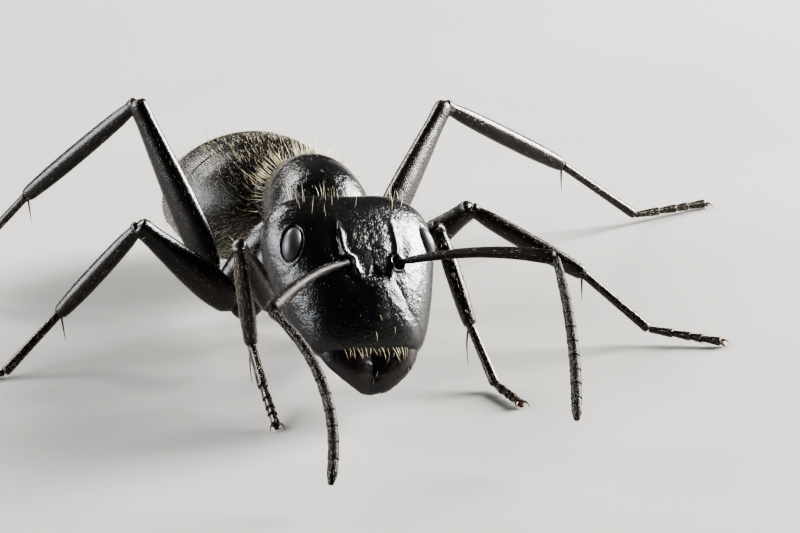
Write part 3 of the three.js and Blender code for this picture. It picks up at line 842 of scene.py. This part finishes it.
def add_claws(form, ball, toe):
    """Two hooked claws, and the soft pad between them."""
    ahead = toe - ball
    ahead.z = 0
    ahead.normalize()
    across = Vector((-ahead.y, ahead.x, 0))
    for hand in (1, -1):
        root = toe - ahead * 0.02 + across * hand * 0.035
        high = root + ahead * 0.09 + across * hand * 0.09 + Vector((0, 0, 0.05))
        point = root + ahead * 0.17 + across * hand * 0.1
        point.z = CLAW_POINT_HEIGHT
        add_spike(form, bent(root, high, point), 0.026, 0.003)
    pad_end = toe + ahead * 0.09
    pad_end.z = PAD_END_HEIGHT
    rod(form, [toe - ahead * 0.01, pad_end], PAD, 16, 14)


leg_brown = cuticle("leg_brown", (0.004, 0.0037, 0.0035), (0.017, 0.0095, 0.0065), 0.24, 0.036,
                    0.0024, dent=2.0, bloom=0.05)
claw_amber = cuticle("claw_amber", (0.045, 0.02, 0.009), (0.10, 0.045, 0.018), 0.3, 0.02, 0.001)


def add_leg(kind, side_name):
    leg_name = f"{kind}_{side_name}"
    top, hip, knee, ankle, ball, toe = leg_joints(kind, side_name)
    thick = LEGS[kind]["thick"]
    thigh, shin = (knee - hip).normalized(), (ankle - knee).normalized()
    hinge = hip + thigh * TROCHANTER_LENGTH

    def segment(name, start, end, sizes, around=32, along=64, relief=None, trochanter=None):
        up = along_up(start, end)
        form = bmesh.new()
        rod(form, [start, end], sizes, around, along, up, relief)
        if trochanter:
            rod(form, trochanter, TROCHANTER, 32, 20, up)
        make_piece(f"{name}_{leg_name}_shell", form, leg_brown,
                   [f"{name}_{leg_name}"], axis=axis_of(start, end, up))

    segment("coxa", top, hip + (hip - top).normalized() * 0.02, COXA)
    segment("femur", hinge, knee + thigh * 0.06,
            [(at, wide * thick, high * thick) for at, wide, high in FEMUR], 40, 80,
            trochanter=[hip - thigh * 0.06, hinge + thigh * 0.08])
    segment("tibia", knee, ankle, TIBIA, 32, 72, shin_groove)
    segment("basitarsus", ankle - shin * 0.02, ball, BASITARSUS, 24, 48)
    ends = np.concatenate([[0], np.cumsum(TOE_JOINTS)])
    toe_form = bmesh.new()
    for start, stop in zip(ends, ends[1:]):
        a, b = ball.lerp(toe, start - 0.01 if start else 0), ball.lerp(toe, stop)
        rod(toe_form, [a, b], TARSOMERE, 20, 24, along_up(a, b))
    make_piece(f"tarsus_{leg_name}_joints", toe_form, leg_brown,
               [f"tarsus_{leg_name}"], axis=axis_of(ball, toe, along_up(ball, toe)))
    claw_form = bmesh.new()
    add_spur(claw_form, kind, ankle, shin)
    add_claws(claw_form, ball, toe)
    make_piece(f"claws_{leg_name}", claw_form, claw_amber)


for kind in LEGS:
    for side_name in SIDES:
        add_leg(kind, side_name)

# ---- hairs ----------------------------------------------------------------------------------
# Stiff golden bristles stand on the back and the face, long pale hairs lie back over the gaster,
# and short ones lie flat on the legs and feelers. Each hair is a thin bent spike.

HAIR_SIDES = 3
ROOT_DEPTH, TAPER_POWER = 0.015, 2.2
# In a coat's UV square: the side of each hair's patch, each skin's margin and its used height.
PATCH, MARGIN, USED_HEIGHT = 0.003, 0.03, 0.85
rng = np.random.default_rng(7)


def unit(rows):
    return rows / np.maximum(np.linalg.norm(rows, axis=-1, keepdims=True), 1e-9)


def unwrap(points, axis, cell, cells):
    """Rolls a round skin out flat round its axis, into its own cell of the square."""
    origin, ahead, up = (np.array(tuple(row), float) for row in axis[:3])
    ahead = unit(ahead)
    across = unit(np.cross(ahead, up))
    rise = np.cross(across, ahead)
    local = points - origin
    turn = np.arctan2(local @ rise, local @ across) / (2 * math.pi) + 0.5
    on = np.clip(0.5 + ((local @ ahead) / axis[3] - 0.5) * USED_HEIGHT, 0, 1)
    grid = math.ceil(math.sqrt(cells))
    u = (cell % grid + MARGIN + turn * (1 - 2 * MARGIN)) / grid
    v = (cell // grid + MARGIN + on * (1 - 2 * MARGIN)) / grid
    return np.stack([u, v], 1)


def scatter(skin, count, where=None):
    """Random places on a skin, evenly by area, or by area times the share that where gives."""
    points, normals, triangles = skin["points"], skin["normals"], skin["triangles"]
    a, b, c = (points[triangles[:, k]] for k in range(3))
    area = np.linalg.norm(np.cross(b - a, c - a), axis=1)
    if where is not None:
        area = area * where((a + b + c) / 3, unit(np.cross(b - a, c - a)))
    chosen = rng.choice(len(area), count, p=area / area.sum())
    first, second = rng.random((2, count))
    flip = first + second > 1
    first, second = np.where(flip, 1 - first, first), np.where(flip, 1 - second, second)
    shares = np.stack([1 - first - second, first, second], 1)[:, :, None]
    picked = triangles[chosen]
    return (points[picked] * shares).sum(1), unit((normals[picked] * shares).sum(1))


def fill(layer, field, values, kind):
    layer.add(len(values))
    layer.foreach_set(field, values.astype(kind).ravel())


class Coat:
    """Collects hairs and makes them one mesh, with a flat patch for each hair in its UV map."""

    def __init__(self, name, skins_used, segments):
        self.name, self.skins_used, self.segments = name, skins_used, segments
        self.rows = []

    def add(self, skin_name, roots, start, end, length, radius):
        """Adds hairs that set out along start and bend until they point along end."""
        spots = unwrap(roots, skins[skin_name]["axis"], self.skins_used.index(skin_name),
                       len(self.skins_used))
        self.rows.append((roots, start, end, length, radius, spots))

    def grow(self, skin_name, count, comb, stand, length, radius, where=None, droop=0.5, stray=0.15):
        """comb is the way the hairs lie, stand how upright they are, droop how far they bend."""
        roots, normals = scatter(skins[skin_name], count, where)
        comb = np.array(comb, float) + 0 * roots
        comb = comb - normals * (comb * normals).sum(1, keepdims=True)
        comb = unit(unit(comb) + rng.normal(0, stray, comb.shape))
        upright = np.clip(stand + rng.normal(0, 0.08, count), 0.03, 1)[:, None]
        start = unit(normals * upright + comb * (1 - upright))
        lower = np.clip(upright - droop * rng.uniform(0.5, 1.3, upright.shape), -0.2, 1)
        end = unit(normals * lower + comb * (1 - np.abs(lower)))
        size = rng.uniform(*length, count)
        self.add(skin_name, roots, start, end, size, radius * rng.uniform(0.8, 1.2, count))

    def finish(self, finish, slot):
        """A hair's points are its rings, from the root on, and then its tip."""
        roots, start, end, size, radius, spots = (np.concatenate(x) for x in zip(*self.rows))
        count, segments = len(roots), self.segments
        t = np.linspace(0, 1, segments + 1)
        sunk = roots - start * ROOT_DEPTH
        spine = (sunk[:, None] + size[:, None, None] * (
            start[:, None] * t[None, :, None]
            + (end - start)[:, None] * (t ** 2 / 2)[None, :, None]))
        # The small odd vector keeps a straight hair's start and end from being parallel.
        across = unit(np.cross(start, end + np.array((0.011, 0.013, 0.017))))
        rise = unit(np.cross(across, start))
        thick = radius[:, None] * (1 - t ** TAPER_POWER)[None]
        rings = []
        for k in range(HAIR_SIDES):
            turn = 2 * math.pi * k / HAIR_SIDES
            away = across * math.cos(turn) + rise * math.sin(turn)
            rings.append(spine[:, :segments] + away[:, None] * thick[:, :segments, None])
        body = np.stack(rings, 2).reshape(count, -1, 3)
        points = np.concatenate([body, spine[:, -1:]], 1)
        tip = HAIR_SIDES * segments
        faces, corners = [], []
        for i in range(segments):
            low, high = i / segments, (i + 1) / segments
            for k in range(HAIR_SIDES):
                here, beside = i * HAIR_SIDES + k, i * HAIR_SIDES + (k + 1) % HAIR_SIDES
                left, right = k / HAIR_SIDES, (k + 1) / HAIR_SIDES
                if i < segments - 1:
                    faces.append([here, beside, beside + HAIR_SIDES, here + HAIR_SIDES])
                    corners.append([(low, left), (low, right), (high, right), (high, left)])
                else:
                    faces.append([here, beside, tip])
                    corners.append([(low, left), (low, right), (1, (k + 0.5) / HAIR_SIDES)])
        faces.append([2, 1, 0])
        corners.append([(0, 0.02), (0, 0.05), (0.03, 0.03)])
        loops = np.concatenate(faces)
        starts = np.cumsum([0] + [len(face) for face in faces[:-1]])
        hairs = np.arange(count)[:, None]
        mesh = bpy.data.meshes.new(self.name)
        placed = (points.reshape(-1, 3) + np.array(SHIFT)) * MM
        fill(mesh.vertices, "co", placed, np.float32)
        fill(mesh.loops, "vertex_index", (loops[None] + hairs * (tip + 1)).ravel(), np.int32)
        fill(mesh.polygons, "loop_start", (starts[None] + hairs * len(loops)).ravel(), np.int32)
        mesh.update(calc_edges=True)
        mesh.validate()
        patch = (np.concatenate(corners) - 0.5) * PATCH
        unwrapped = np.clip(spots, PATCH, 1 - PATCH)[:, None] + patch[None]
        layer = mesh.uv_layers.new(name="OFBake")
        layer.data.foreach_set("uv", unwrapped.astype(np.float32).ravel())
        show_piece(self.name, mesh, finish)


def hair_finish(name, dark, light):
    finish = Finish(name, IOR=1.55, Specular_IOR_Level=0.6)
    cloud = finish.noise(0.12)
    finish.set(
        Base_Color=finish.mix(finish.spread(cloud, 0.35, 0.65), dark, light),
        Roughness=finish.spread(cloud, 0.3, 0.7, 0.28, 0.42))
    return finish


golden = hair_finish("hair_golden", (0.42, 0.34, 0.2), (0.74, 0.65, 0.45))
pale = hair_finish("hair_pale", (0.34, 0.3, 0.21), (0.6, 0.55, 0.42))
tan = hair_finish("hair_tan", (0.2, 0.15, 0.09), (0.46, 0.37, 0.25))
olive = hair_finish("hair_olive", (0.24, 0.2, 0.125), (0.44, 0.38, 0.26))
silver = hair_finish("hair_silver", (0.3, 0.27, 0.22), (0.55, 0.52, 0.46))

# How many short hairs lie on each ring of the gaster, and how many long ones for each of them.
GASTER_DOWN, LONG_SHARE = (2600, 2600, 2200, 1300, 600), 0.6
gaster_skins = [f"gaster_ring_{i}" for i in range(1, 6)]
gaster_ahead = np.array(GASTER_AXIS)
gaster_down = Coat("gaster_down", gaster_skins, 3)
gaster_hairs = Coat("gaster_hairs", gaster_skins, 5)
for skin_name, share in zip(gaster_skins, GASTER_DOWN):
    gaster_down.grow(skin_name, share, gaster_ahead, 0.12, (0.18, 0.32), 0.0042,
                     droop=0.1, stray=0.12)
    gaster_hairs.grow(skin_name, int(share * LONG_SHARE), gaster_ahead, 0.7, (0.42, 0.8), 0.0068,
                      droop=0.4, stray=0.14)
gaster_down.finish(olive, "body_cuticle")
gaster_hairs.finish(pale, "body_cuticle")

body_skins = ["pronotum_plate", "mesothorax_plate", "propodeum_plate", "petiole_scale"]


def upper(points, normals):
    return step(normals[:, 2], -0.2, 0.6)


body_hairs = Coat("body_hairs", body_skins, 5)
body_hairs.grow("pronotum_plate", 95, (0, 1, 0), 0.85, (0.28, 0.5), 0.008, upper, droop=0.3)
body_hairs.grow("mesothorax_plate", 70, (0, 1, 0), 0.85, (0.3, 0.5), 0.008, upper, droop=0.3)
body_hairs.grow("propodeum_plate", 90, (0, 1, 0), 0.8, (0.28, 0.46), 0.008, upper, droop=0.3)
body_hairs.grow("petiole_scale", 60, (0, 0.4, 1), 0.8, (0.22, 0.4), 0.0075, droop=0.2)
body_hairs.finish(golden, "body_cuticle")
body_down = Coat("body_down", body_skins, 3)
for skin_name, count in zip(body_skins, (600, 550, 500, 150)):
    body_down.grow(skin_name, count, (0, 1, -0.2), 0.15, (0.07, 0.12), 0.003,
                   droop=0.1, stray=0.25)
body_down.finish(tan, "body_cuticle")

FACE_OUT, FACE_UP = np.array(HEAD_TURN.col[2]), np.array(HEAD_TURN.col[1])
FACE_ACROSS = np.array(HEAD_TURN.col[0])


def on_face(points):
    """Places on the head: how far from the middle line, up the face and out of it."""
    local = points - np.array(HEAD_CENTRE)
    return np.abs(local @ FACE_ACROSS), local @ FACE_UP, local @ FACE_OUT


def crown(points, normals):
    u, v, w = on_face(points)
    return step(v, 0.85, 1.15) * step(w, -0.5, -0.2)


def brow(points, normals):
    u, v, w = on_face(points)
    return (1 - step(u, 0.7, 1.0)) * step(v, 0.1, 0.3) * (1 - step(v, 0.8, 1.1)) * step(w, 0.1, 0.3)


def shield(points, normals):
    u, v, w = on_face(points)
    return (1 - step(u, 0.45, 0.75)) * (1 - step(v, -0.7, -0.45)) * step(w, 0.05, 0.2)


def throat(points, normals):
    u, v, w = on_face(points)
    return step(-w, 0.4, 0.6) * (1 - step(v, 0.4, 0.8))


def jaw_front(points, normals):
    u, v, w = on_face(points)
    return step(normals @ FACE_OUT, 0.0, 0.4) * (1 - step(v, -1.5, -1.3)) * (1 - step(u, 0.4, 0.9) * 0.8)


head_skins = ["head_shell", "mandible_left_horn", "mandible_right_horn"]
head_hairs = Coat("head_hairs", head_skins, 5)
head_hairs.grow("head_shell", 38, FACE_UP, 0.8, (0.2, 0.4), 0.0052, crown, droop=0.3)
head_hairs.grow("head_shell", 7, FACE_UP, 0.75, (0.12, 0.24), 0.0045, brow, droop=0.3)
head_hairs.grow("head_shell", 12, -FACE_UP, 0.6, (0.14, 0.26), 0.0045, shield, droop=0.35)
head_hairs.grow("head_shell", 26, -FACE_UP, 0.75, (0.16, 0.3), 0.0065, throat, droop=0.3)
for name, side in SIDES.items():
    head_hairs.grow(f"mandible_{name}_horn", 12, -FACE_UP + FACE_ACROSS * -0.4 * side, 0.45,
                    (0.1, 0.2), 0.0045, jaw_front, droop=0.3)

# A fringe hangs from the clypeus's front edge, each hair from the skin's nearest point.
FRINGE = 18
fringe_u = np.linspace(-0.62, 0.62, FRINGE) + rng.normal(0, 0.02, FRINGE)
fringe_v = -1.63 - 0.04 * np.cos(fringe_u * 2.2)
shell_points = skins["head_shell"]["points"] - np.array(HEAD_CENTRE)
shell_points = shell_points[shell_points @ FACE_OUT > 0.25]
gaps = np.hypot(shell_points @ FACE_ACROSS - fringe_u[:, None],
                shell_points @ FACE_UP - fringe_v[:, None])
fringe_roots = np.array(HEAD_CENTRE) + shell_points[gaps.argmin(1)]
fringe_lean = rng.normal(0, 0.18, FRINGE)[:, None] * FACE_ACROSS
head_hairs.add("head_shell", fringe_roots, unit(-FACE_UP + 0.55 * FACE_OUT + fringe_lean),
               unit(-FACE_UP + 0.05 * FACE_OUT + fringe_lean * 1.5),
               rng.uniform(0.2, 0.42, FRINGE), np.full(FRINGE, 0.0055))
head_hairs.finish(golden, "body_cuticle")
head_down = Coat("head_down", ["head_shell"], 3)
head_down.grow("head_shell", 500, -FACE_UP, 0.12, (0.035, 0.07), 0.002, droop=0.08, stray=0.25)
head_down.finish(tan, "body_cuticle")

feeler_skins = [f"scape_{name}_shaft" for name in SIDES]
feeler_skins += [f"funiculus_{name}_joints" for name in SIDES]
feeler_down = Coat("feeler_down", feeler_skins, 3)
for skin_name in feeler_skins:
    ahead = np.array(skins[skin_name]["axis"][1])
    if skin_name.startswith("scape"):
        feeler_down.grow(skin_name, 150, ahead, 0.15, (0.04, 0.08), 0.0028, droop=0.1)
    else:
        feeler_down.grow(skin_name, 2600, ahead, 0.2, (0.03, 0.05), 0.0024, droop=0.15, stray=0.2)
feeler_down.finish(silver, "feeler_cuticle")

# The hairs of a leg's segments: how many, the way they lie where it isn't along the segment, how
# upright, how long and how thick they are, how far they bend and how far they stray.
LEG_HAIRS = dict(
    coxa=[(40, (0, 0, -1), 0.7, (0.15, 0.3), 0.006, 0.3, 0.15),
          (160, None, 0.15, (0.06, 0.1), 0.0035, 0.1, 0.15)],
    femur=[(220, None, 0.14, (0.05, 0.1), 0.0026, 0.1, 0.15),
           (9, None, 0.7, (0.14, 0.24), 0.005, 0.3, 0.15)],
    tibia=[(420, None, 0.16, (0.07, 0.13), 0.0026, 0.12, 0.1),
           (14, None, 0.5, (0.12, 0.19), 0.0052, 0.2, 0.15)],
    basitarsus=[(420, None, 0.28, (0.06, 0.11), 0.0034, 0.15, 0.15)],
    tarsus=[(260, None, 0.32, (0.05, 0.09), 0.0036, 0.15, 0.15)])
leg_skins = [skin for skin in skins if skin.split("_")[0] in LEG_HAIRS]
leg_hairs = Coat("leg_hairs", leg_skins, 3)
for skin_name in leg_skins:
    ahead = np.array(skins[skin_name]["axis"][1])
    for count, comb, stand, length, radius, droop, stray in LEG_HAIRS[skin_name.split("_")[0]]:
        leg_hairs.grow(skin_name, count, comb or ahead, stand, length, radius, None, droop, stray)
leg_hairs.finish(tan, "leg_cuticle")
